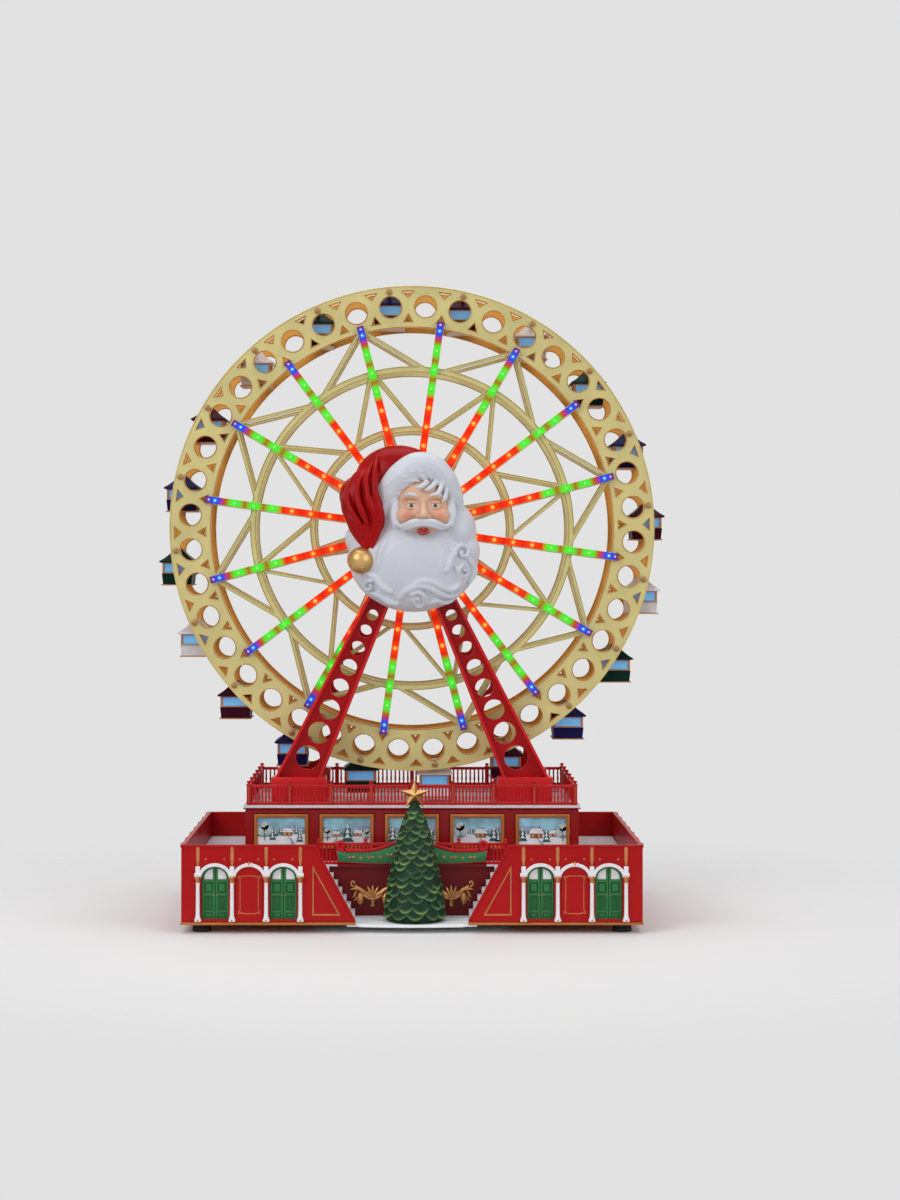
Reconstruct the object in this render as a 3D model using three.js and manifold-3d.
// A musical, lit Christmas ferris wheel: a table ornament in millimetres, +Z up, front facing -Y.
// The origin is on the surface it stands on, below the middle of its base.
import * as THREE from 'three';
import { mergeVertices } from 'three/addons/utils/BufferGeometryUtils.js';
import Module from 'manifold-3d';

const wasm = await Module();
wasm.setup();

const degree = Math.PI / 180;
const fullTurn = 360 * degree;

// Clearances: between fixed mouldings, and round what turns or slides
const fit = 0.3;
const running = 0.3;
const overrun = 2;

// Base: rubber feet, gold bottom plate and red housing
const footHeight = 4.8;
const footRadius = 5.4;
const footInset = 10.5;
const plateThickness = 1.5;
const plateLip = 0.5;
const baseWidth = 254;
const baseDepth = 170;
const baseTop = 48.9;
const wall = 2;
const floorTop = 32.5;
const snowThickness = 1.2;
const forecourtWidth = 108;
const forecourtDepth = 34.5;
const slopeFootInset = 23;
const slopeTopInset = 0.4;

// Arcades on the two wings
const innerColumnInset = 7.4;
const outerColumnInset = 9.2;
const columnRadius = 1.15;
const columnStand = 0.5;
const columnBaseRadius = 1.7;
const columnBaseHeight = 1.6;
const springHeight = 30.8;
const archRise = 6.2;
const archBand = 1.9;
const arcadeRelief = 1.3;
const doorThickness = 1.6;
const doorMargin = 2;
const leafPocketDepth = 0.6;

// Ground, stairs, tree and sign in the forecourt
const groundTop = 5;
const groundThickness = 2;
const groundBulge = 1.8;
const groundTongue = 9;
const stepCount = 7;
const stepPeek = 1.2;
const treeRadius = 17.4;
const treeHeight = 66;
const treeBulge = 1.8;
const treeX = 1.5;
const starWidth = 15.6;
const starThickness = 4.4;
const starValleyShare = 0.42;
const bannerHalf = 41;
const bannerLow = 34.6;
const bannerEnd = 41.5;
const bannerPeak = 51;
const bannerThickness = 1.6;
const voluteRadius = 3.9;
const scrollWidth = 1.8;

// Upper block with its pictures, its deck and the railings
const blockWidth = 190.4;
const blockSetback = 48;
const blockRearInset = 2.6;
const blockTop = 63.3;
const pictures = 5;
const pictureHeight = 20.4;
const pictureSpacing = 5.7;
const pictureMargins = 3.9;
const pictureDrop = 22.7;
const pictureFrame = 1.5;
const pictureFrameRelief = 0.7;
const pictureBoard = 1.4;
const deckOverhang = 1;
const deckEdge = 2;
const deckFloorDrop = 1.8;
const deckPanel = 1.4;
const railThickness = 1.6;
const railInset = 2.2;
const railHeight = 11.8;
const postRise = 2.4;
const postWidth = 2.2;
const railBar = 1.9;
const deckBays = 8;
const deckSideBays = 5;
const frontGapsPerBay = 2;
const otherGapsPerBay = 1;
const gapShare = 0.5;
const balconyRailTop = 46.6;
const balconyOverhang = 2.9;
const balconyBays = 4;

// A-frames
const hubHeight = 224.5;
const wheelDepth = 24;
const frameGap = 7;
const frameThickness = 10;
const webThickness = 3;
const flangeWidth = 1.8;
const legHubWidth = 8.4;
const legFootWidth = 25.3;
const legSink = 6.7;
const plinthWidth = 32;
const plinthDepth = 13;
const plinthInset = 29.4;
const plinthHeight = 17.9;
const frameHubRadius = 19;
const legHoleFirstShare = 0.3373;
const legHoleEnd = 18.6;
const legHoleFirstRadiusShare = 0.0199;
const legHoleLastRadiusShare = 0.0422;
const legHoles = 8;

// Wheel: two pierced plates, one at each end of the gondolas
const wheelTurn = -14.5 * degree;
const gondolaClearance = 2.9;
const rimBeyondPins = 3.2;
const rimWidth = 24.5;
const wheelThickness = 4;
const wheelGap = 30;
const pinsBeyondHoles = 8.9;
const rimHoleRadius = 6.3;
const rimHoles = 40;
const outerRingShare = 0.8058;
const innerRingShare = 0.5076;
const ringBand = 3.4;
const wheelHubRadius = 24;
const spokes = 16;
const spokeWidth = 4.4;
const strutWidth = 1.9;
const strutOffset = 4.5 * degree;
const pinRadius = 1.1;
const pinHeadReach = 0.5;
const stripWidth = 4;
const stripOverRim = 4.2;
const stripThickness = 2;

// Gondolas
const gondolas = 20;
const gondolaFirst = 5.5 * degree;
const roofPeak = 2;
const eavesDrop = 7;
const roofHalfWidth = 10.4;
const roofClearance = 1;
const ridgeHalf = 3.6;
const windowDrop = 13.4;
const cabinHalfWidth = 9.1;
const roofOverhang = 1.8;
const windowRecess = 0.5;
const cabinBottom = 20.4;

// Axle, bearings, slip ring and motor
const axleRadius = 4;
const keyRadius = 5.2;
const hubTubeRadius = 9;
const bearingRadius = 7;
const bearingLength = 6.4;
const bearingFlange = 1.2;
const bearingFlangeRadius = 9;
const slipRingRadius = 8.4;
const slipRingClearance = 2.4;
const brushWidth = 9;
const brushHeight = 8;
const gearboxRadius = 14;
const gearboxLength = 9;
const motorRadius = 9;
const motorLength = 9;
const outputRadius = 8;
const coverWall = 1.4;
const cableRadius = 1;

// Head on the front hub
const headX = 3.4;
const headBack = 0.4;
const headPeg = 8;
const headPegReach = 4;
const faceX = 9;
const faceRise = 3.5;
const faceHalfWidth = 20;
const faceHalfHeight = 25;
const faceDepth = 25;
const beardDrop = 19;
const beardHalfWidth = 35.5;
const beardHalfHeight = 33.4;
const beardDepth = 22;
const beardTipDrop = 19;
const beardTipHalfWidth = 21;
const beardTipHalfHeight = 15;
const beardTipDepth = 17;
const noseRadius = 4;
const noseDrop = 4;
const moustacheHalfWidth = 9;
const moustacheHalfHeight = 3.6;
const moustacheDrop = 10;
const brimRadius = 7;
const hatX = -4;
const hatRise = 22.5;
const hatHalfWidth = 29;
const hatHalfHeight = 20.5;
const hatDepth = 15;
const tailDepth = 15;
const tailRadius = 11.5;
const tailTipRadius = 4.5;
const bobbleRadius = 6.4;
const bobbleX = -31;
const bobbleDrop = 22.5;

// Sound, power and controls in the base
const boardWidth = 117;
const boardDepth = 34;
const boardThickness = 1.6;
const boardHeight = 14;
const plugWidth = 6;
const plugHeight = 5;
const plugSideInset = 4.75;
const plugRearInset = 5.9;
const postRadius = 2.5;
const speakerRadius = 19;
const speakerMagnetRadius = 10;
const speakerHeight = 13;
const speakerX = -66;
const speakerGap = 1.7;
const soundHoleRadius = 2.2;
const soundHoleRing = 11;
const soundHoles = 6;
const controlHeight = 19;
const knobX = 30;
const knobRadius = 6;
const knobLength = 7;
const knobShaftRadius = 2;
const knobShaftLength = 9;
const cupWall = 1.2;
const cupDepth = 5;
const fingerGap = 3;
const switchX = -4;
const switchLength = 5;
const switchHeight = 4;
const switchTravel = 3;
const switchFlange = 1.2;
const jackX = -32;
const jackRadius = 3.6;
const jackBore = 2.9;
const jackPin = 1;
const jackBlock = 10;
const jackDepth = 8;

// Numbers of sides on round forms
const rimSides = 40;
const holeSides = 7;
const pinHoleSides = 5;
const turnedSides = 10;
const smallSides = 8;
const legHoleSides = 7;
const cableSides = 6;
const brimSteps = 6;
const tailSteps = 6;
const arcStep = 12 * degree;
const archSteps = 3;

// Places that follow from the sizes above
const plateTop = footHeight + plateThickness;
const frontFace = -baseDepth / 2;
const rearFace = baseDepth / 2;
const forecourtHalf = forecourtWidth / 2;
const slopeFoot = forecourtHalf - slopeFootInset;
const slopeTop = forecourtHalf - slopeTopInset;
const innerColumn = forecourtHalf + innerColumnInset;
const columnPitch = (baseWidth / 2 - outerColumnInset - innerColumn) / 3;
const forecourtRear = frontFace + forecourtDepth;
const snowLow = floorTop + fit;
const snowTop = snowLow + snowThickness;
const blockHalf = blockWidth / 2;
const blockFront = frontFace + blockSetback;
const blockRear = rearFace - blockRearInset;
const balconyFront = forecourtRear - balconyOverhang;
const picturePitch = (blockWidth - pictureMargins) / pictures;
const pictureWidth = picturePitch - pictureSpacing;
const pictureLow = blockTop - pictureDrop;
const deckFloor = blockTop - deckFloorDrop;
const deckTop = blockTop + fit + deckEdge;
const frontWheelFront = wheelDepth - wheelGap / 2 - wheelThickness;
const rearWheelRear = wheelDepth + wheelGap / 2 + wheelThickness;
const frontFrameRear = frontWheelFront - frameGap;
const frontFrameFront = frontFrameRear - frameThickness;
const rearFrameFront = rearWheelRear + frameGap;
const rearFrameRear = rearFrameFront + frameThickness;
const roofHalfDepth = wheelGap / 2 - roofClearance;
const cabinHalfDepth = roofHalfDepth - roofOverhang;
const plinthX = blockHalf - plinthInset;
const plinthTop = deckFloor + plinthHeight;
const legSpread = Math.atan2(plinthX, hubHeight - plinthTop);
const plinthDistance = (hubHeight - plinthTop) / Math.cos(legSpread);
const legLength = plinthDistance + legSink;
const pinRing = hubHeight - deckFloor - cabinBottom - gondolaClearance;
const rimHoleRing = pinRing - pinsBeyondHoles;
const rimOuter = pinRing + rimBeyondPins;
const rimInner = rimOuter - rimWidth;
const outerRing = rimInner * outerRingShare;
const innerRing = rimInner * innerRingShare;
const stripReach = rimInner + stripOverRim;
const faceHeight = hubHeight + faceRise;
const beardHeight = faceHeight - beardDrop;
const beardTipHeight = beardHeight - beardTipDrop;
const noseHeight = faceHeight - noseDrop;
const moustacheHeight = faceHeight - moustacheDrop;
const hatHeight = faceHeight + hatRise;
const bobbleHeight = faceHeight - bobbleDrop;

const boardRear = rearFace - wall - fit - knobShaftLength - cupDepth;
const speakerY = boardRear - boardDepth - speakerGap - speakerRadius;
const doorPanelHalf = columnPitch * 3 / 2 - archBand + doorMargin;

// The switch reaches as far behind the base as the column bases stand in front of it
const switchReach = fit + columnStand + columnBaseRadius;

// A closed three.js geometry as a solid that can be cut and joined.
function solid(geometry) {
  const bare = geometry.clone();
  bare.deleteAttribute('normal');
  bare.deleteAttribute('uv');
  const merged = mergeVertices(bare);
  const corners = [];
  const index = merged.index.array;
  for (let i = 0; i < index.length; i += 3) {
    const [a, b, c] = [index[i], index[i + 1], index[i + 2]];
    if (a !== b && b !== c && c !== a) corners.push(a, b, c);
  }
  return new wasm.Manifold(new wasm.Mesh({
    numProp: 3,
    vertProperties: merged.attributes.position.array,
    triVerts: Uint32Array.from(corners),
  }));
}

function geometryOf(manifold) {
  const mesh = manifold.getMesh();
  const geometry = new THREE.BufferGeometry();
  geometry.setAttribute('position', new THREE.BufferAttribute(mesh.vertProperties, 3));
  geometry.setIndex(new THREE.BufferAttribute(mesh.triVerts, 1));
  return geometry;
}

function joined(first, ...rest) {
  return rest.reduce((whole, part) => whole.add(part), first);
}

function cut(whole, ...tools) {
  return tools.reduce((left, tool) => left.subtract(tool), whole);
}

function box(x0, x1, y0, y1, z0, z1) {
  const geometry = new THREE.BoxGeometry(x1 - x0, y1 - y0, z1 - z0);
  return solid(geometry.translate((x0 + x1) / 2, (y0 + y1) / 2, (z0 + z1) / 2));
}

function points(pairs) {
  return pairs.map(([x, y]) => new THREE.Vector2(x, y));
}

// An outline drawn in X and Z, carried from front to back along Y.
function upright(shape, front, back, curveSegments = smallSides) {
  const geometry = new THREE.ExtrudeGeometry(shape, { depth: back - front, bevelEnabled: false, curveSegments });
  return geometry.rotateX(90 * degree).translate(0, back, 0);
}

// A plan outline drawn in X and Y, carried up from low to high.
function level(shape, low, high, curveSegments = smallSides) {
  const geometry = new THREE.ExtrudeGeometry(shape, { depth: high - low, bevelEnabled: false, curveSegments });
  return geometry.translate(0, 0, low);
}

function outline(pairs) {
  return new THREE.Shape(points(pairs));
}

function ringPoints(radius, sides, x = 0, y = 0, start = 0) {
  const list = [];
  for (let i = 0; i < sides; i += 1) {
    const angle = start + (i / sides) * fullTurn;
    list.push([x + radius * Math.cos(angle), y + radius * Math.sin(angle)]);
  }
  return list;
}

// A round bar or ring about a line along Y, from its radii at stations along that line.
function turnedAlongY(profile, x, z, sides = turnedSides) {
  return solid(new THREE.LatheGeometry(points(profile), sides).translate(x, 0, z));
}

function turnedAlongZ(profile, x, y, sides = turnedSides) {
  return solid(new THREE.LatheGeometry(points(profile), sides).rotateX(90 * degree).translate(x, y, 0));
}

function rod(radius, front, back, x, z, sides = turnedSides) {
  return turnedAlongY([[0, front], [radius, front], [radius, back], [0, back]], x, z, sides);
}

function ellipsoid(halfX, halfY, halfZ, x, y, z, around = 10, over = 6) {
  const ball = new THREE.SphereGeometry(1, around, over).rotateX(90 * degree);
  return solid(ball.scale(halfX, halfY, halfZ).translate(x, y, z));
}

// A closed round tube through a row of places, its section set square to a line that it never runs along.
function tube(places, radiusAt, aside, sides) {
  const corners = [];
  const last = places.length - 1;
  places.forEach((place, i) => {
    const along = new THREE.Vector3();
    if (i > 0) along.add(place.clone().sub(places[i - 1]).normalize());
    if (i < last) along.add(places[i + 1].clone().sub(place).normalize());
    const first = new THREE.Vector3().crossVectors(aside, along).normalize();
    const second = new THREE.Vector3().crossVectors(along.normalize(), first);
    for (const [x, y] of ringPoints(radiusAt(i / last), sides)) {
      corners.push(place.clone().addScaledVector(first, x).addScaledVector(second, y));
    }
  });
  const faces = [];
  for (let i = 0; i < last; i += 1) {
    for (let j = 0; j < sides; j += 1) {
      const [a, b] = [i * sides + j, i * sides + (j + 1) % sides];
      faces.push(a, b, b + sides, a, b + sides, a + sides);
    }
  }
  const end = last * sides;
  for (let j = 1; j < sides - 1; j += 1) faces.push(0, j + 1, j, end, end + j, end + j + 1);
  return solid(facesThrough(corners, faces));
}

// A geometry from its corners and the faces that name them.
function facesThrough(corners, faces) {
  const geometry = new THREE.BufferGeometry();
  geometry.setFromPoints(corners);
  geometry.setIndex(faces);
  return geometry;
}

function finish(color, roughness, metalness = 0) {
  return new THREE.MeshStandardMaterial({ color, roughness, metalness });
}

function named(name, shape, material) {
  const geometry = shape.isBufferGeometry ? shape : geometryOf(shape);
  const mesh = new THREE.Mesh(geometry, material);
  mesh.name = name;
  return mesh;
}

const gold = finish(0xd2c27c, 0.35, 0.7);
const copper = finish(0xb9814e, 0.45, 0.5);
const red = finish(0xb81820, 0.35);
const darkRed = finish(0x7c1016, 0.45);
const snow = finish(0xeeeef2, 0.7);
const white = finish(0xf4f4f2, 0.4);
const doorGreen = finish(0x2a6e3c, 0.4);
const treeGreen = finish(0x24523a, 0.55);
const rubber = finish(0x151515, 0.85);
const black = finish(0x1c1c1e, 0.6);
const steel = finish(0xb8bbc0, 0.3, 0.9);
const boardGreen = finish(0x1d5a34, 0.5);
const ledRed = finish(0xe8341c, 0.3);
const cabinColors = [0x232060, 0x12261f, 0xf2f2f0, 0x4a0f20];

// Wheel plate: pierced rim, two truss rings, sixteen spokes and zigzag struts.

// First and last places where a line from a point meets a circle about the centre.
function meetCircle(from, along, radius) {
  const middle = -from.dot(along);
  const reach = Math.sqrt(radius * radius - from.lengthSq() + middle * middle);
  return [from.clone().addScaledVector(along, middle - reach), from.clone().addScaledVector(along, middle + reach)];
}

function arcBetween(from, to, radius) {
  const start = from.angle();
  const sweep = to.angle() - start;
  const steps = Math.max(1, Math.round(Math.abs(sweep) / arcStep));
  const list = [];
  for (let i = 1; i < steps; i += 1) {
    const angle = start + (i / steps) * sweep;
    list.push(new THREE.Vector2(radius * Math.cos(angle), radius * Math.sin(angle)));
  }
  return list;
}

// The two openings of one truss bay: a strut runs from the outer end of the first spoke
// to a foot beside the second spoke. The first spoke lies along the bay's own x.
function trussBay(inner, outer) {
  const pitch = fullTurn / spokes;
  const firstSide = new THREE.Vector2(0, spokeWidth / 2);
  const firstAlong = new THREE.Vector2(1, 0);
  const secondAlong = new THREE.Vector2(Math.cos(pitch), Math.sin(pitch));
  const secondSide = new THREE.Vector2(Math.sin(pitch), -Math.cos(pitch)).multiplyScalar(spokeWidth / 2);
  const head = meetCircle(firstSide, firstAlong, outer)[1];
  const footAngle = pitch - Math.max(strutOffset, (spokeWidth / 2 + strutWidth) / inner);
  const foot = new THREE.Vector2(inner * Math.cos(footAngle), inner * Math.sin(footAngle));
  const strutAlong = foot.clone().sub(head).normalize();
  const strutAcross = new THREE.Vector2(-strutAlong.y, strutAlong.x).multiplyScalar(-strutWidth / 2);
  const upper = head.clone().add(strutAcross);
  const lower = head.clone().sub(strutAcross);
  const rimHead = meetCircle(upper, strutAlong, outer)[0];
  const rimEnd = meetCircle(secondSide, secondAlong, outer)[1];
  const ringEnd = meetCircle(secondSide, secondAlong, inner)[1];
  const ringFoot = meetCircle(upper, strutAlong, inner)[0];
  const lowerFoot = meetCircle(lower, strutAlong, inner)[0];
  const spokeFoot = meetCircle(firstSide, firstAlong, inner)[1];
  const crossing = (firstSide.y - lower.y) / strutAlong.y;
  const spokeHead = lower.clone().addScaledVector(strutAlong, crossing);
  return [
    [rimHead, ...arcBetween(rimHead, rimEnd, outer), rimEnd, ringEnd, ringFoot],
    [spokeHead, lowerFoot, ...arcBetween(lowerFoot, spokeFoot, inner), spokeFoot],
  ];
}

// Turns a bay to its spoke, and mirrors it for the bay on the spoke's other side.
function setBay(list, angle, mirror) {
  const placed = list.map((point) => (
    new THREE.Vector2(point.x, point.y * mirror).rotateAround(new THREE.Vector2(), angle)
  ));
  return mirror > 0 ? placed : placed.reverse();
}

function trussOpenings() {
  const zones = [[outerRing, rimInner], [innerRing, outerRing - ringBand], [wheelHubRadius, innerRing - ringBand]];
  const openings = [];
  for (const [inner, outer] of zones) {
    for (let spoke = 0; spoke < spokes; spoke += 2) {
      const angle = 90 * degree + (spoke / spokes) * fullTurn;
      for (const mirror of [1, -1]) {
        trussBay(inner, outer).forEach((list) => openings.push(setBay(list, angle, mirror)));
      }
    }
  }
  return openings;
}

function rimOpenings() {
  const openings = [];
  for (let i = 0; i < rimHoles; i += 1) {
    const angle = 90 * degree + (i / rimHoles) * fullTurn;
    const [x, y] = [rimHoleRing * Math.cos(angle), rimHoleRing * Math.sin(angle)];
    openings.push(points(ringPoints(rimHoleRadius, holeSides, x, y, angle)));
  }
  for (let i = 0; i < gondolas; i += 1) {
    const angle = 90 * degree + (i + 1 / 2) * (fullTurn / gondolas);
    const [x, y] = [pinRing * Math.cos(angle), pinRing * Math.sin(angle)];
    const bore = (pinRadius + running) / Math.cos(fullTurn / pinHoleSides / 2);
    openings.push(points(ringPoints(bore, pinHoleSides, x, y, angle)));
  }
  return openings;
}

function wheelPlate(front) {
  const keyhole = points(ringPoints(keyRadius + fit / Math.cos(30 * degree), 6));
  const openings = [...trussOpenings(), ...rimOpenings(), keyhole].map((list) => list.map(({ x, y }) => [x, y]));
  const rim = ringPoints(rimOuter, rimSides, 0, 0, 90 * degree);
  const plate = new wasm.CrossSection([rim, ...openings], 'EvenOdd');
  return plate.extrude(wheelThickness).rotate([90, 0, 0]).translate([0, front + wheelThickness, 0]);
}

// Sixteen light strips that meet in a ring on the hub.
function lightStrips(front) {
  const inner = wheelHubRadius;
  const list = [];
  for (let i = 0; i < spokes; i += 1) {
    const angle = 90 * degree + (i / spokes) * fullTurn;
    for (const [along, across] of [[inner, -1], [stripReach, -1], [stripReach, 1], [inner, 1]]) {
      const point = new THREE.Vector2(along, across * stripWidth / 2).rotateAround(new THREE.Vector2(), angle);
      list.push(point);
    }
  }
  const star = new THREE.Shape(list);
  star.holes.push(new THREE.Path(points(ringPoints(keyRadius + 2 * fit, smallSides))));
  return upright(star, front, front + stripThickness);
}

// Axle: a hexagonal tube between the wheels, a key through each hub and a round end in each bearing.
function axle() {
  const tubeFront = frontWheelFront + wheelThickness + fit;
  const tubeRear = rearWheelRear - wheelThickness - fit;
  const keyFront = frontWheelFront - stripThickness - fit;
  const keyRear = rearWheelRear + fit;
  const front = frontFrameRear - bearingLength;
  const rear = rearFrameRear + gearboxLength / 2;
  const key = solid(upright(outline(ringPoints(keyRadius, 6)), keyFront, keyRear));
  const tube = solid(upright(outline(ringPoints(hubTubeRadius, 6)), tubeFront, tubeRear));
  return joined(key, tube, rod(axleRadius, front, rear, 0, 0));
}

function slipRing() {
  const front = rearWheelRear + 2 * fit;
  const rear = front + frameGap - slipRingClearance;
  const bore = (axleRadius + fit) / Math.cos(fullTurn / turnedSides / 2);
  return turnedAlongY([
    [bore, front], [slipRingRadius, front], [slipRingRadius, rear], [bore, rear], [bore, front],
  ], 0, 0);
}

// Gondola: hipped roof, window band and cabin, hung on a pin at each end of the roof.
function gondola() {
  const levels = [
    [cabinHalfWidth, cabinHalfDepth, -cabinBottom],
    [cabinHalfWidth, cabinHalfDepth, -windowDrop],
    [cabinHalfWidth - windowRecess, cabinHalfDepth - windowRecess, -windowDrop],
    [cabinHalfWidth - windowRecess, cabinHalfDepth - windowRecess, -eavesDrop],
    [roofHalfWidth, roofHalfDepth, -eavesDrop],
  ];
  const corners = [];
  for (const [x, y, z] of levels) {
    for (const [across, along] of [[-x, -y], [x, -y], [x, y], [-x, y]]) {
      corners.push(new THREE.Vector3(across, along, z));
    }
  }
  corners.push(new THREE.Vector3(0, -ridgeHalf, roofPeak), new THREE.Vector3(0, ridgeHalf, roofPeak));
  const faces = [0, 2, 1, 0, 3, 2];
  for (let i = 0; i < levels.length - 1; i += 1) {
    for (let side = 0; side < 4; side += 1) {
      const [a, b] = [4 * i + side, 4 * i + (side + 1) % 4];
      faces.push(a, b, b + 4, a, b + 4, a + 4);
    }
  }
  const eaves = 4 * (levels.length - 1);
  const [ridgeFront, ridgeRear] = [eaves + 4, eaves + 5];
  faces.push(eaves, eaves + 1, ridgeFront);
  faces.push(eaves + 1, eaves + 2, ridgeRear, eaves + 1, ridgeRear, ridgeFront);
  faces.push(eaves + 2, eaves + 3, ridgeRear);
  faces.push(eaves + 3, eaves, ridgeFront, eaves + 3, ridgeFront, ridgeRear);
  const pinEnd = wheelGap / 2 + wheelThickness + pinHeadReach;
  const pin = rod(pinRadius, -pinEnd, pinEnd, 0, 0, pinHoleSides);
  return joined(solid(facesThrough(corners, faces)), pin);
}

// A-frame: two tapered channel legs with graded round holes, a hub and two foot blocks.
function legWidth(distance) {
  return legHubWidth + (legFootWidth - legHubWidth) * (distance / legLength);
}

// A place on a leg: so far from the hub along it, and so far out from its middle line.
function legPlace(side, distance, out) {
  const lean = side * legSpread;
  return new THREE.Vector2(
    distance * Math.sin(lean) + out * side * Math.cos(lean),
    hubHeight - distance * Math.cos(lean) + out * side * Math.sin(lean),
  );
}

function legOutline(side, inset, start) {
  const corner = (distance, edge) => legPlace(side, distance, edge * (legWidth(distance) / 2 - inset));
  return new THREE.Shape([corner(start, -side), corner(start, side), corner(legLength, side), corner(legLength, -side)]);
}

function frame(front, recessFromFront) {
  const back = front + frameThickness;
  const recessFront = recessFromFront ? front - overrun : front + webThickness;
  const recessBack = recessFromFront ? back - webThickness : back + overrun;
  const recessStart = frameHubRadius + flangeWidth;
  let legs = rod(frameHubRadius, front, back, 0, hubHeight);
  for (const side of [-1, 1]) {
    legs = cut(
      legs.add(solid(upright(legOutline(side, 0, 0), front, back))),
      solid(upright(legOutline(side, flangeWidth, recessStart), recessFront, recessBack)),
    );
  }
  const middle = (front + back) / 2;
  const plinths = [-plinthX, plinthX].map((x) => box(
    x - plinthWidth / 2, x + plinthWidth / 2, middle - plinthDepth / 2, middle + plinthDepth / 2,
    deckFloor + fit, plinthTop,
  ));
  return joined(cut(legs, ...legHoleCutters(front, back)), ...plinths);
}

function legHoleCutters(front, back) {
  const cutters = [];
  const first = legLength * legHoleFirstShare;
  for (const side of [-1, 1]) {
    for (let i = 0; i < legHoles; i += 1) {
      const share = i / (legHoles - 1);
      const spaced = share * (1 + share) / 2;
      const distance = first + (legLength - legHoleEnd - first) * (share + spaced) / 2;
      const radiusShare = legHoleFirstRadiusShare + (legHoleLastRadiusShare - legHoleFirstRadiusShare) * share;
      const centre = legPlace(side, distance, 0);
      cutters.push(rod(legLength * radiusShare, front - overrun, back + overrun, centre.x, centre.y, legHoleSides));
    }
  }
  return cutters;
}

// The front hub has a blind seat for the bearing and a square peg for the head.
function frontFrame() {
  const seatFront = frontFrameRear - bearingLength - fit;
  const seat = rod(bearingRadius + fit, seatFront, frontFrameRear + overrun, 0, hubHeight);
  const peg = box(
    -headPeg / 2, headPeg / 2, frontFrameFront - headPegReach, frontFrameFront + overrun,
    hubHeight - headPeg / 2, hubHeight + headPeg / 2,
  );
  return joined(cut(frame(frontFrameFront, true), seat), peg);
}

function rearFrame() {
  const bore = rod(outputRadius + fit, rearFrameFront - overrun, rearFrameRear + overrun, 0, hubHeight);
  return cut(frame(rearFrameFront, false), bore);
}

function frontBearing() {
  const front = frontFrameRear - bearingLength;
  const rear = frontFrameRear + fit + bearingFlange;
  const bore = (axleRadius + running) / Math.cos(fullTurn / turnedSides / 2);
  return turnedAlongY([
    [bore, front], [bearingRadius, front], [bearingRadius, frontFrameRear + fit],
    [bearingFlangeRadius, frontFrameRear + fit], [bearingFlangeRadius, rear], [bore, rear], [bore, front],
  ], 0, hubHeight);
}

function brushBlock() {
  const low = hubHeight + slipRingRadius + running;
  return box(-brushWidth / 2, brushWidth / 2, rearWheelRear + 2 * fit, rearFrameFront - fit, low, low + brushHeight);
}

// Gear motor behind the rear hub: its output sleeve turns the axle's rear end.
function hubMotor() {
  const front = rearFrameRear + fit;
  const rear = front + gearboxLength + motorLength;
  const bore = (axleRadius + running) / Math.cos(fullTurn / turnedSides / 2);
  const body = turnedAlongY([
    [0, rearFrameFront + fit], [outputRadius, rearFrameFront + fit], [outputRadius, front], [gearboxRadius, front],
    [gearboxRadius, front + gearboxLength], [motorRadius, front + gearboxLength], [motorRadius, rear], [0, rear],
  ], 0, hubHeight);
  const socket = rod(bore, rearFrameFront - overrun, rearFrameRear + gearboxLength / 2 + running, 0, hubHeight);
  return cut(body, socket);
}

function motorCover() {
  const front = rearFrameRear + fit;
  const rear = front + gearboxLength + motorLength + fit;
  const inner = gearboxRadius + fit;
  const shoulder = inner / 2;
  return turnedAlongY([
    [0, rear], [inner - coverWall, rear], [inner, rear - coverWall], [inner, front],
    [inner + coverWall, front], [inner + coverWall, rear - coverWall],
    [shoulder + inner / 2, rear + coverWall], [0, rear + coverWall],
  ], 0, hubHeight);
}

// The motor and light lead lies beside the holes of a rear leg, against its inner flange.
function cablePlace(distance, y) {
  const at = legPlace(1, distance, flangeWidth + fit + cableRadius - legWidth(distance) / 2);
  return new THREE.Vector3(at.x, y, at.y);
}

// It leaves the leg above the plinth, and drops behind it.
function cableDrop() {
  const behind = (rearFrameFront + rearFrameRear + plinthDepth) / 2 + fit + cableRadius;
  return cablePlace(plinthDistance - frameThickness, behind);
}

// The plug stands in a rear corner of the circuit board.
function plugPlace(z) {
  return new THREE.Vector3(boardWidth / 2 - plugSideInset, boardRear - plugRearInset, z);
}

// From the motor cover down to the plug on the circuit board.
function motorCable() {
  const over = rearFrameRear + fit + cableRadius;
  const inChannel = rearFrameFront + webThickness + fit + cableRadius;
  const edge = frameHubRadius + flangeWidth + cableRadius;
  const drop = cableDrop();
  const exit = plinthDistance - 3 * frameThickness;
  return tube([
    cablePlace(gearboxRadius + 2 * fit + coverWall, over),
    cablePlace(edge, over),
    cablePlace(edge + frameThickness, inChannel),
    cablePlace(exit, inChannel),
    drop,
    drop.clone().setZ(floorTop - wall),
    plugPlace(boardHeight + boardThickness + plugHeight + 2 * fit + cableRadius),
    plugPlace(boardHeight + boardThickness + plugHeight + fit),
  ], () => cableRadius, new THREE.Vector3(1, 0, 0), cableSides);
}

function cableHole(low, high) {
  const drop = cableDrop();
  return solid(level(outline(ringPoints(cableRadius * 2, smallSides, drop.x, drop.y)), low, high));
}

// Base housing: a walled tray with a forecourt let into its front and a sloped cheek at each side of it.
function baseOutline(lip) {
  const [x, front, rear] = [baseWidth / 2 + lip, frontFace - lip, rearFace + lip];
  return outline([
    [-x, front], [-forecourtHalf, front], [-forecourtHalf, forecourtRear], [forecourtHalf, forecourtRear],
    [forecourtHalf, front], [x, front], [x, rear], [-x, rear],
  ]);
}

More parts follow.
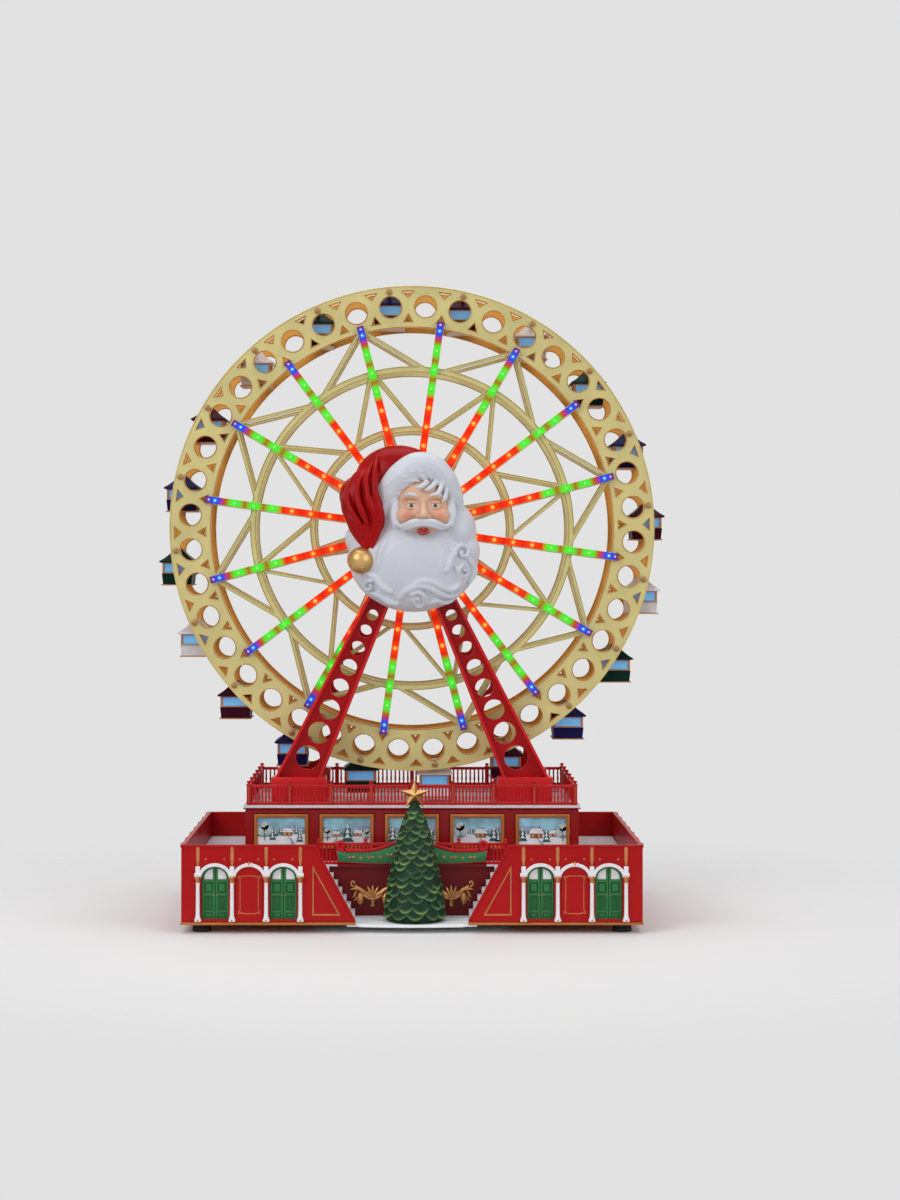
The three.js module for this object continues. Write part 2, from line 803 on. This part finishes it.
function archedBay(x, low, halfWidth, rise) {
  const bay = new THREE.Shape();
  bay.moveTo(x - halfWidth, low);
  bay.lineTo(x + halfWidth, low);
  bay.lineTo(x + halfWidth, springHeight);
  bay.absellipse(x, springHeight, halfWidth, rise, 0, 180 * degree, false);
  return bay;
}

function bayCentre(side, bay) {
  return side * (innerColumn + columnPitch * (bay + 1 / 2));
}

function baseHousing() {
  const half = baseWidth / 2 - wall;
  const shell = solid(level(baseOutline(0), plateTop + fit, baseTop));
  const tray = box(-half, half, frontFace + wall, rearFace - wall, floorTop, baseTop + overrun);
  const hollow = outline([
    [-half, frontFace + wall], [-forecourtHalf - wall, frontFace + wall],
    [-forecourtHalf - wall, forecourtRear + wall], [forecourtHalf + wall, forecourtRear + wall],
    [forecourtHalf + wall, frontFace + wall], [half, frontFace + wall],
    [half, rearFace - wall], [-half, rearFace - wall],
  ]);
  let housing = cut(shell, tray, solid(level(hollow, footHeight, floorTop - wall)));
  for (const side of [-1, 1]) {
    const cheek = outline([
      [side * (forecourtHalf + wall), plateTop + fit], [side * slopeFoot, plateTop + fit],
      [side * slopeTop, baseTop], [side * (forecourtHalf + wall), baseTop],
    ]);
    housing = housing.add(solid(upright(cheek, frontFace, frontFace + wall)));
    const doorHalf = doorPanelHalf + fit;
    housing = cut(housing, box(
      bayCentre(side, 1) - doorHalf, bayCentre(side, 1) + doorHalf, frontFace + wall,
      frontFace + wall + doorThickness + 2 * fit, plateTop + fit, floorTop + overrun,
    ));
    for (let bay = 0; bay < 3; bay += 1) {
      const opening = archedBay(bayCentre(side, bay), plateTop + columnBaseHeight, columnPitch / 2 - archBand, archRise);
      housing = cut(housing, solid(upright(opening, frontFace - overrun, frontFace + wall + overrun, archSteps)));
    }
  }
  return joined(cut(housing, ...controlOpenings(), cableHole(floorTop - wall - overrun, floorTop + overrun)), knobCup());
}

// Rear wall: a cup for the volume knob, a slot for the switch and a round hole for the power socket.
function controlOpenings() {
  const [front, back] = [rearFace - wall - overrun, rearFace + overrun];
  const slotHalf = switchLength / 2 + running;
  return [
    rod(knobRadius + fingerGap, front, back, knobX, controlHeight),
    box(
      switchX - slotHalf, switchX + slotHalf + switchTravel, front, back,
      controlHeight - switchHeight / 2 - running, controlHeight + switchHeight / 2 + running,
    ),
    rod(jackRadius + fit, front, back, jackX, controlHeight),
  ];
}

function knobCup() {
  const outer = knobRadius + fingerGap + cupWall;
  const floor = rearFace - wall - cupDepth;
  const cup = rod(outer, floor, rearFace - wall / 2, knobX, controlHeight);
  const inside = rod(knobRadius + fingerGap, floor + cupWall, rearFace + overrun, knobX, controlHeight);
  const hole = rod(knobShaftRadius + 2 * running, floor - overrun, rearFace, knobX, controlHeight);
  return cut(cup, inside, hole);
}

function basePlate() {
  let plate = solid(level(baseOutline(plateLip), footHeight, plateTop));
  for (const side of [-1, 1]) {
    const [inner, outer] = [side * slopeFoot, side * (forecourtHalf + wall)];
    const toe = box(
      Math.min(inner, outer), Math.max(inner, outer), frontFace - plateLip, frontFace + wall, footHeight, plateTop,
    );
    plate = plate.add(toe);
  }
  for (let i = 0; i < soundHoles; i += 1) {
    const angle = (i / soundHoles) * fullTurn;
    const [x, y] = [speakerX + soundHoleRing * Math.cos(angle), speakerY + soundHoleRing * Math.sin(angle)];
    const hole = outline(ringPoints(soundHoleRadius, 6, x, y));
    plate = cut(plate, solid(level(hole, footHeight - overrun, plateTop + overrun)));
  }
  return plate;
}

function foot(x, y) {
  return turnedAlongZ([
    [0, 0], [footRadius * 0.86, 0], [footRadius, footHeight - fit], [0, footHeight - fit],
  ], x, y);
}

// Arcade: four columns with bases and capitals, joined by three arches.
function arcade(side) {
  const front = frontFace - fit - arcadeRelief;
  const back = frontFace - fit;
  const first = side * innerColumn;
  const last = side * (innerColumn + 3 * columnPitch);
  const [left, right] = [Math.min(first, last) - columnRadius, Math.max(first, last) + columnRadius];
  const low = plateTop + fit;
  const crown = new THREE.Shape();
  crown.moveTo(left, springHeight);
  crown.lineTo(left, springHeight + archRise);
  for (let bay = 0; bay < 3; bay += 1) {
    const x = left + columnRadius + columnPitch * (bay + 1 / 2);
    crown.absellipse(x, springHeight, columnPitch / 2 + archBand / 8, archRise + archBand, 150 * degree, 30 * degree, true);
  }
  crown.lineTo(right, springHeight + archRise);
  crown.lineTo(right, springHeight);
  for (let bay = 2; bay >= 0; bay -= 1) {
    const x = left + columnRadius + columnPitch * (bay + 1 / 2);
    crown.absellipse(x, springHeight, columnPitch / 2 - archBand, archRise, 0, 180 * degree, false);
  }
  let whole = solid(upright(crown, front, back, archSteps));
  for (let i = 0; i < 4; i += 1) {
    const x = left + columnRadius + columnPitch * i;
    const y = back - columnStand;
    const capital = springHeight - columnBaseHeight;
    whole = whole.add(turnedAlongZ([
      [0, low], [columnBaseRadius, low], [columnRadius, low + columnBaseHeight],
      [columnRadius, capital - columnBaseHeight], [columnBaseRadius, capital + columnBaseHeight],
      [0, capital + columnBaseHeight],
    ], x, y, 6));
  }
  return cut(whole, box(left - overrun, right + overrun, back, frontFace + wall, low - overrun, springHeight + archRise));
}

// Door panel: two double doors with a plain panel between them, set behind the arcade's openings.
function doorPanel(side) {
  const front = frontFace + wall + fit;
  const half = doorPanelHalf;
  const middle = bayCentre(side, 1);
  const low = plateTop + fit;
  const top = springHeight + archRise + doorMargin;
  let panel = box(middle - half, middle + half, front, front + doorThickness, low, top);
  for (const bay of [0, 2]) {
    const x = bayCentre(side, bay);
    const leaf = columnPitch / 2 - archBand;
    for (const hand of [-1, 1]) {
      const centre = x + hand * leaf / 2;
      const pocketHalf = leaf * 0.32;
      const sill = low + (springHeight - low) * 0.78;
      const pocketBack = front + leafPocketDepth;
      panel = cut(
        panel,
        box(centre - pocketHalf, centre + pocketHalf, front - overrun, pocketBack, low + columnBaseHeight * 2, sill),
        box(centre - pocketHalf, centre + pocketHalf, front - overrun, pocketBack, sill + archBand, springHeight + archRise / 2),
      );
    }
  }
  return panel;
}

// Snow floor of a wing, with its stairs down to the forecourt.
function snowTray(side) {
  const outer = side * (baseWidth / 2 - wall - fit);
  const blockSide = side * (blockHalf + fit);
  const besideBalcony = side * (forecourtHalf + fit);
  const stairSide = side * (forecourtHalf - fit);
  const front = frontFace + wall + fit;
  const behindDoors = front + doorThickness + fit;
  const rear = rearFace - wall - fit;
  const landing = balconyFront - fit;
  const block = blockFront - fit;
  const floor = outline([
    [outer, behindDoors], [stairSide, behindDoors], [stairSide, landing], [besideBalcony, landing],
    [besideBalcony, block], [blockSide, block], [blockSide, rear], [outer, rear],
  ]);
  const tray = solid(level(floor, snowLow, snowTop));
  const slope = (slopeTop - slopeFoot) / (baseTop - plateTop);
  const rise = (snowTop - groundTop - fit) / stepCount;
  const low = groundTop + fit;
  const stairs = [[stairSide, low]];
  for (let i = 0; i < stepCount; i += 1) {
    const x = side * (slopeFoot - stepPeek + rise * slope * i);
    stairs.push([x, low + rise * i], [x, low + rise * (i + 1)]);
  }
  stairs.push([stairSide, snowTop]);
  const flight = solid(upright(outline(stairs), front, forecourtRear - fit));
  const balconyRoom = box(-forecourtHalf, forecourtHalf, landing, forecourtRear, snowLow - fit, snowTop + overrun);
  return joined(tray, cut(flight, balconyRoom));
}

function snowGround() {
  const [front, rear] = [frontFace + wall + fit, forecourtRear - fit];
  const slab = new THREE.Shape();
  const half = forecourtHalf - fit;
  const mouth = slopeFoot - stepPeek - fit;
  slab.moveTo(-half, rear);
  slab.lineTo(-half, front);
  slab.lineTo(-mouth, front);
  slab.lineTo(-mouth, frontFace);
  slab.quadraticCurveTo(0, frontFace - 2 * groundBulge, mouth, frontFace);
  slab.lineTo(mouth, front);
  slab.lineTo(half, front);
  slab.lineTo(half, rear);
  const low = groundTop - groundThickness;
  const tongueTop = footHeight - fit;
  const tongue = box(-half, half, rear - wall, rear + groundTongue, low, tongueTop);
  return joined(solid(level(slab, low, groundTop, 6)), tongue);
}

// Upper block: a frame of four walls with five picture openings in its front.
function mainBuilding() {
  const low = snowLow;
  const shell = cut(
    box(-blockHalf, blockHalf, blockFront, blockRear, low, blockTop),
    box(
      -blockHalf + wall, blockHalf - wall, blockFront + wall, blockRear - wall, low - overrun, blockTop + overrun,
    ),
  );
  const openings = pictureCentres().map((x) => box(
    x - pictureWidth / 2, x + pictureWidth / 2, blockFront - overrun, blockFront + wall + overrun,
    pictureLow, pictureLow + pictureHeight,
  ));
  return cut(shell, ...openings);
}

function pictureCentres() {
  return [-2, -1, 0, 1, 2].map((place) => place * picturePitch);
}

// One board carries the five framed pictures, which fill the wall's openings from behind.
function pictureStrip() {
  const back = blockFront + wall + fit;
  const half = 2 * picturePitch + pictureWidth / 2 + pictureFrame;
  let strip = box(
    -half, half, back, back + pictureBoard, pictureLow - pictureFrame, pictureLow + pictureHeight,
  );
  for (const x of pictureCentres()) {
    const halfPicture = pictureWidth / 2 - fit;
    const [low, high] = [pictureLow + fit, pictureLow + pictureHeight - fit];
    const frameFront = blockFront - pictureFrameRelief;
    strip = joined(strip, box(x - halfPicture, x + halfPicture, frameFront, back + pictureBoard / 2, low, high));
    strip = cut(strip, box(
      x - halfPicture + pictureFrame, x + halfPicture - pictureFrame, frameFront - overrun, blockFront + wall / 2,
      low + pictureFrame, high - pictureFrame,
    ));
  }
  return strip;
}

// Deck: a snow-white pan that closes the block, with its edge lying on the walls.
function deck() {
  const edge = blockHalf + deckOverhang;
  const pan = blockHalf - wall - fit;
  const [front, rear] = [blockFront + wall + pictureBoard + 2 * fit, blockRear - wall - fit];
  const rim = box(-edge, edge, blockFront - deckOverhang, blockRear + deckOverhang, blockTop + fit, deckTop);
  const body = box(-pan, pan, front, rear, deckFloor - deckPanel, deckTop);
  const inside = box(
    -pan + deckPanel, pan - deckPanel, front + deckPanel, rear - deckPanel, deckFloor, deckTop + overrun,
  );
  return cut(joined(rim, body), inside, cableHole(deckFloor - deckPanel - overrun, deckTop));
}

// A run of railing in X and Z: rails, posts with raised tops, and balusters between them.
function railingRun(length, low, height, bays, gapsPerBay, front) {
  const half = length / 2;
  const pitch = (length - postWidth) / bays;
  const top = low + height;
  const list = [[-half, low], [half, low]];
  for (let i = bays; i >= 0; i -= 1) {
    const x = -half + pitch * i;
    list.push([x + postWidth, top], [x + postWidth, top + postRise], [x, top + postRise], [x, top]);
  }
  let run = solid(upright(outline(list.slice(0, 2).concat(list.slice(3, -1))), front, front + railThickness));
  const gapPitch = (pitch - postWidth) / gapsPerBay;
  for (let bay = 0; bay < bays; bay += 1) {
    for (let gap = 0; gap < gapsPerBay; gap += 1) {
      const centre = -half + pitch * bay + postWidth + gapPitch * (gap + 1 / 2);
      const gapHalf = gapPitch * gapShare / 2;
      run = cut(run, box(
        centre - gapHalf, centre + gapHalf, front - overrun, front + railThickness + overrun,
        low + railBar, top - railBar,
      ));
    }
  }
  return run;
}

function deckRailing() {
  const low = deckTop + fit;
  const width = blockWidth + 2 * deckOverhang - 2 * railInset;
  const front = blockFront - deckOverhang + railInset - railThickness / 2;
  const rear = blockRear + deckOverhang - railInset - railThickness / 2;
  const depth = rear + railThickness - front;
  const middle = (front + rear + railThickness) / 2;
  let whole = joined(
    railingRun(width, low, railHeight, deckBays, frontGapsPerBay, front),
    railingRun(width, low, railHeight, deckBays, otherGapsPerBay, rear),
  );
  for (const side of [-1, 1]) {
    const run = geometryOf(railingRun(depth, low, railHeight, deckSideBays, otherGapsPerBay, -railThickness / 2));
    const x = side * (width / 2 - railThickness / 2);
    whole = whole.add(solid(run.rotateZ(90 * degree).translate(x, middle, 0)));
  }
  return whole;
}

function balcony() {
  const half = forecourtHalf - fit;
  const floor = box(-half, half, balconyFront, blockFront - fit, snowLow, snowTop);
  const rail = railingRun(
    2 * half, snowTop - fit, balconyRailTop - snowTop, balconyBays, frontGapsPerBay, balconyFront + fit,
  );
  return joined(floor, rail);
}

// Sign: a long boat-shaped plate whose top edge sweeps up at the middle, with a scroll at each end.
function bannerSign() {
  const back = balconyFront;
  const front = back - bannerThickness;
  const plate = new THREE.Shape();
  const shoulder = bannerHalf * 0.4;
  plate.moveTo(-bannerHalf + scrollWidth, bannerLow);
  plate.lineTo(bannerHalf - scrollWidth, bannerLow);
  plate.lineTo(bannerHalf, bannerEnd);
  plate.quadraticCurveTo(shoulder * 1.2, bannerEnd, shoulder / 2, bannerPeak);
  plate.lineTo(-shoulder / 2, bannerPeak);
  plate.quadraticCurveTo(-shoulder * 1.2, bannerEnd, -bannerHalf, bannerEnd);
  let whole = solid(upright(plate, front, back, 6));
  for (const side of [-1, 1]) {
    whole = joined(whole, rod(
      voluteRadius, front - scrollWidth / 2, back, side * (bannerHalf - voluteRadius),
      bannerEnd + voluteRadius * 0.8, 12,
    ));
  }
  return whole;
}

// Tree: drooping tiers of boughs, each tier's edge scalloped, and the next turned by half a bough.
function tree() {
  const boughs = 6;
  const tiers = 6;
  const around = boughs * 2;
  const y = forecourtRear - fit - treeRadius;
  const low = groundTop + fit;
  const corners = [];
  const ring = (radius, height, scallop, turn) => {
    for (let i = 0; i < around; i += 1) {
      const angle = (i + turn) / around * fullTurn;
      const reach = radius * (i % 2 === 0 ? 1 : 1 - scallop);
      corners.push(new THREE.Vector3(treeX + reach * Math.cos(angle), y + reach * Math.sin(angle), low + height));
    }
  };
  const tierHeight = treeHeight / (tiers + 1);
  ring(treeRadius * 0.84, 0, 0, 0);
  for (let tier = 0; tier < tiers; tier += 1) {
    const radius = treeRadius * (1 - (tier / tiers) ** treeBulge);
    const turn = tier % 2;
    ring(radius, tierHeight * (tier + 0.45), 0.1, turn);
    ring(radius * 0.8 - treeRadius * 0.05, tierHeight * (tier + 1.2), 0, turn);
  }
  const count = corners.length;
  corners.push(new THREE.Vector3(treeX, y, low), new THREE.Vector3(treeX, y, low + treeHeight));
  const faces = [];
  for (let start = 0; start + around < count; start += around) {
    for (let i = 0; i < around; i += 1) {
      const [a, b] = [start + i, start + (i + 1) % around];
      faces.push(a, b, b + around, a, b + around, a + around);
    }
  }
  for (let i = 0; i < around; i += 1) {
    const next = (i + 1) % around;
    faces.push(next, i, count, count - around + i, count - around + next, count + 1);
  }
  return solid(facesThrough(corners, faces));
}

// Five-pointed star with a raised ridge on both faces, seated on the tree's tip.
function treeStar() {
  const outer = starWidth / 2 / Math.sin(72 * degree);
  const inner = outer * starValleyShare;
  const y = forecourtRear - fit - treeRadius;
  const z = groundTop + 2 * fit + treeHeight + inner;
  const corners = [];
  for (let i = 0; i < 10; i += 1) {
    const angle = 90 * degree + i * 36 * degree;
    const radius = i % 2 === 0 ? outer : inner;
    corners.push(new THREE.Vector3(treeX + radius * Math.cos(angle), y, z + radius * Math.sin(angle)));
  }
  corners.push(new THREE.Vector3(treeX, y - starThickness / 2, z), new THREE.Vector3(treeX, y + starThickness / 2, z));
  const faces = [];
  for (let i = 0; i < 10; i += 1) {
    const next = (i + 1) % 10;
    faces.push(i, next, 10, next, i, 11);
  }
  return solid(facesThrough(corners, faces));
}

// Head: face, hair and beard in low relief with a flat back, and the fur edge of the hat.
function headForm(grow) {
  const back = frontFrameFront - fit - headBack;
  const hair = ellipsoid(
    beardHalfWidth + grow, beardDepth + grow, beardHalfHeight + grow, headX, back, beardHeight,
  );
  const tip = ellipsoid(
    beardTipHalfWidth + grow, beardTipDepth + grow, beardTipHalfHeight + grow, headX, back, beardTipHeight,
  );
  const face = ellipsoid(
    faceHalfWidth + grow, faceDepth + grow, faceHalfHeight + grow, faceX, back, faceHeight,
  );
  const brim = brimArc(back, brimRadius + grow);
  return joined(hair, tip, face, brim);
}

function brimArc(back, radius) {
  const rise = faceHalfHeight * 0.62;
  const reach = faceHalfWidth * 1.3;
  const path = new THREE.CatmullRomCurve3([
    new THREE.Vector3(faceX - reach, back - faceDepth * 0.35, faceHeight + rise * 0.5),
    new THREE.Vector3(faceX - reach / 2, back - faceDepth * 0.66, faceHeight + rise * 1.08),
    new THREE.Vector3(faceX + reach / 8, back - faceDepth * 0.74, faceHeight + rise * 1.3),
    new THREE.Vector3(faceX + reach * 0.68, back - faceDepth * 0.62, faceHeight + rise * 1.05),
    new THREE.Vector3(faceX + reach, back - faceDepth * 0.35, faceHeight + rise / 4),
  ]);
  return tube(path.getPoints(brimSteps), () => radius, new THREE.Vector3(0, 1, 0), smallSides);
}

function head() {
  const back = frontFrameFront - fit - headBack;
  const nose = ellipsoid(noseRadius, noseRadius, noseRadius, faceX, back - faceDepth, noseHeight, 6, 4);
  const moustache = [-1, 1].map((side) => ellipsoid(
    moustacheHalfWidth, moustacheHalfHeight, moustacheHalfHeight,
    faceX + side * moustacheHalfWidth * 0.8, back - faceDepth, moustacheHeight, 6, 4,
  ));
  const whole = joined(headForm(0), nose, ...moustache);
  const half = beardHalfWidth * 2;
  const behind = box(-half, half, back, back + 2 * beardDepth, beardHeight - half, beardHeight + half);
  const socket = box(
    -headPeg / 2 - fit, headPeg / 2 + fit, frontFrameFront - headPegReach - fit, back + overrun,
    hubHeight - headPeg / 2 - fit, hubHeight + headPeg / 2 + fit,
  );
  return cut(whole, behind, socket);
}

// Hat: a soft crown behind the fur edge, with a tail that folds over and hangs beside the face.
function hat() {
  const back = frontFrameFront - fit - headBack;
  const crown = ellipsoid(hatHalfWidth, hatDepth, hatHalfHeight, hatX, back, hatHeight);
  const tipX = bobbleX;
  const tipHeight = bobbleHeight + bobbleRadius + tailTipRadius;
  const path = new THREE.CatmullRomCurve3([
    new THREE.Vector3(hatX - hatHalfWidth * 0.2, back - tailDepth * 0.6, hatHeight + hatHalfHeight * 0.35),
    new THREE.Vector3(hatX - hatHalfWidth * 0.62, back - tailDepth, hatHeight),
    new THREE.Vector3(tipX + tailRadius / 8, back - tailDepth, (hatHeight + tipHeight) / 2),
    new THREE.Vector3(tipX, back - tailDepth * 0.85, tipHeight),
  ]);
  const radiusAt = (share) => tailRadius + (tailTipRadius - tailRadius) * share;
  const tail = tube(path.getPoints(tailSteps), radiusAt, new THREE.Vector3(0, 1, 0), smallSides);
  const half = hatHalfWidth * 2;
  const behind = box(hatX - half, hatX + half, back, back + 2 * hatDepth, bobbleHeight, hatHeight + half);
  return cut(joined(crown, tail), headForm(fit), behind);
}

function hatBobble() {
  const back = frontFrameFront - fit - headBack;
  const y = back - tailDepth * 0.85;
  const ball = ellipsoid(bobbleRadius, bobbleRadius, bobbleRadius, bobbleX, y, bobbleHeight, 8, 6);
  return cut(ball, headForm(fit));
}

// Circuit board on four posts, with the power socket's block at its rear edge.
function circuitBoard() {
  const rear = boardRear;
  const front = rear - boardDepth;
  const base = plateTop + fit;
  let board = box(-boardWidth / 2, boardWidth / 2, front, rear, boardHeight, boardHeight + boardThickness);
  const inset = 2 * postRadius;
  for (const x of [-boardWidth / 2 + inset, boardWidth / 2 - inset]) {
    for (const y of [front + inset, rear - inset]) {
      board = board.add(box(
        x - postRadius, x + postRadius, y - postRadius, y + postRadius, base, boardHeight + boardThickness / 2,
      ));
    }
  }
  const blockLow = boardHeight + boardThickness / 2;
  const place = plugPlace(blockLow);
  const plug = box(
    place.x - plugWidth / 2, place.x + plugWidth / 2, place.y - plugWidth / 2, place.y + plugWidth / 2,
    blockLow, boardHeight + boardThickness + plugHeight,
  );
  const jack = box(
    jackX - jackBlock / 2, jackX + jackBlock / 2, rear - jackBlock, rearFace - wall - fit, blockLow, controlHeight + jackBlock / 2,
  );
  const barrel = rod(jackRadius, rearFace - wall - 2 * fit, rearFace, jackX, controlHeight);
  const bore = rod(jackBore, rearFace - jackDepth, rearFace + overrun, jackX, controlHeight);
  const pin = rod(jackPin, rearFace - jackDepth - fit, rearFace - wall, jackX, controlHeight, smallSides);
  return joined(cut(joined(board, plug, jack, barrel), bore), pin);
}

function speaker() {
  const low = plateTop + fit;
  return turnedAlongZ([
    [0, low + speakerHeight / 4], [speakerRadius * 0.8, low], [speakerRadius, low],
    [speakerRadius, low + speakerHeight / 6], [speakerMagnetRadius, low + speakerHeight / 2],
    [speakerMagnetRadius, low + speakerHeight], [0, low + speakerHeight],
  ], speakerX, speakerY);
}

function volumeKnob() {
  const shaftEnd = rearFace - wall - cupDepth - knobShaftLength;
  const knobBack = rearFace - wall - cupDepth + cupWall + running;
  return turnedAlongY([
    [0, shaftEnd], [knobShaftRadius, shaftEnd], [knobShaftRadius, knobBack], [knobRadius, knobBack],
    [knobRadius, knobBack + knobLength - cupWall], [knobRadius - cupWall, knobBack + knobLength], [0, knobBack + knobLength],
  ], knobX, controlHeight);
}

function powerSwitch() {
  const half = switchLength / 2;
  const tall = switchHeight / 2;
  const inside = rearFace - wall - running;
  return joined(
    box(switchX - half, switchX + half, inside - switchFlange / 2, rearFace + switchReach, controlHeight - tall, controlHeight + tall),
    box(
      switchX - switchLength, switchX + switchLength, inside - switchFlange, inside,
      controlHeight - switchHeight, controlHeight + switchHeight,
    ),
  );
}

// Assembly
const ornament = new THREE.Group();
const fixed = [
  named('base_plate', basePlate(), copper),
  named('base_housing', baseHousing(), red),
  named('arcade_left', arcade(-1), white),
  named('arcade_right', arcade(1), white),
  named('door_panel_left', doorPanel(-1), doorGreen),
  named('door_panel_right', doorPanel(1), doorGreen),
  named('snow_tray_left', snowTray(-1), snow),
  named('snow_tray_right', snowTray(1), snow),
  named('snow_ground', snowGround(), snow),
  named('tree', tree(), treeGreen),
  named('tree_star', treeStar(), gold),
  named('balcony', balcony(), red),
  named('banner_sign', bannerSign(), doorGreen),
  named('main_building', mainBuilding(), darkRed),
  named('picture_strip', pictureStrip(), copper),
  named('deck', deck(), snow),
  named('deck_railing', deckRailing(), red),
  named('front_frame', frontFrame(), red),
  named('rear_frame', rearFrame(), red),
  named('front_bearing', frontBearing(), steel),
  named('brush_block', brushBlock(), black),
  named('hub_motor', hubMotor(), steel),
  named('motor_cover', motorCover(), red),
  named('motor_cable', motorCable(), black),
  named('head', head(), white),
  named('hat', hat(), red),
  named('hat_bobble', hatBobble(), gold),
  named('circuit_board', circuitBoard(), boardGreen),
  named('speaker', speaker(), black),
  named('volume_knob', volumeKnob(), black),
  named('power_switch', powerSwitch(), black),
];
const footX = baseWidth / 2 - footInset;
const footY = baseDepth / 2 - footInset;
const footPlaces = [[-footX, -footY], [footX, -footY], [footX, footY], [-footX, footY]];
footPlaces.forEach(([x, y], i) => fixed.push(named(`foot_${i + 1}`, foot(x, y), rubber)));
ornament.add(...fixed);

// The wheels, the light strips and what is keyed to the axle turn together.
const wheel = new THREE.Group();
wheel.position.set(0, 0, hubHeight);
wheel.rotation.y = wheelTurn;
wheel.add(
  named('front_wheel', wheelPlate(frontWheelFront), gold),
  named('rear_wheel', wheelPlate(rearWheelRear - wheelThickness), gold),
  named('light_strips', lightStrips(frontWheelFront - stripThickness - fit), ledRed),
  named('axle', axle(), steel),
  named('slip_ring', slipRing(), copper),
);
ornament.add(wheel);

// The gondolas hang upright from the pin holes of the two rims.
const cabin = gondola();
for (let i = 0; i < gondolas; i += 1) {
  const angle = gondolaFirst + (i / gondolas) * fullTurn;
  const number = String(i + 1).padStart(2, '0');
  const mesh = named(`gondola_${number}`, cabin, finish(cabinColors[i % cabinColors.length], 0.45));
  mesh.position.set(-pinRing * Math.sin(angle), wheelDepth, hubHeight + pinRing * Math.cos(angle));
  ornament.add(mesh);
}

export default ornament;
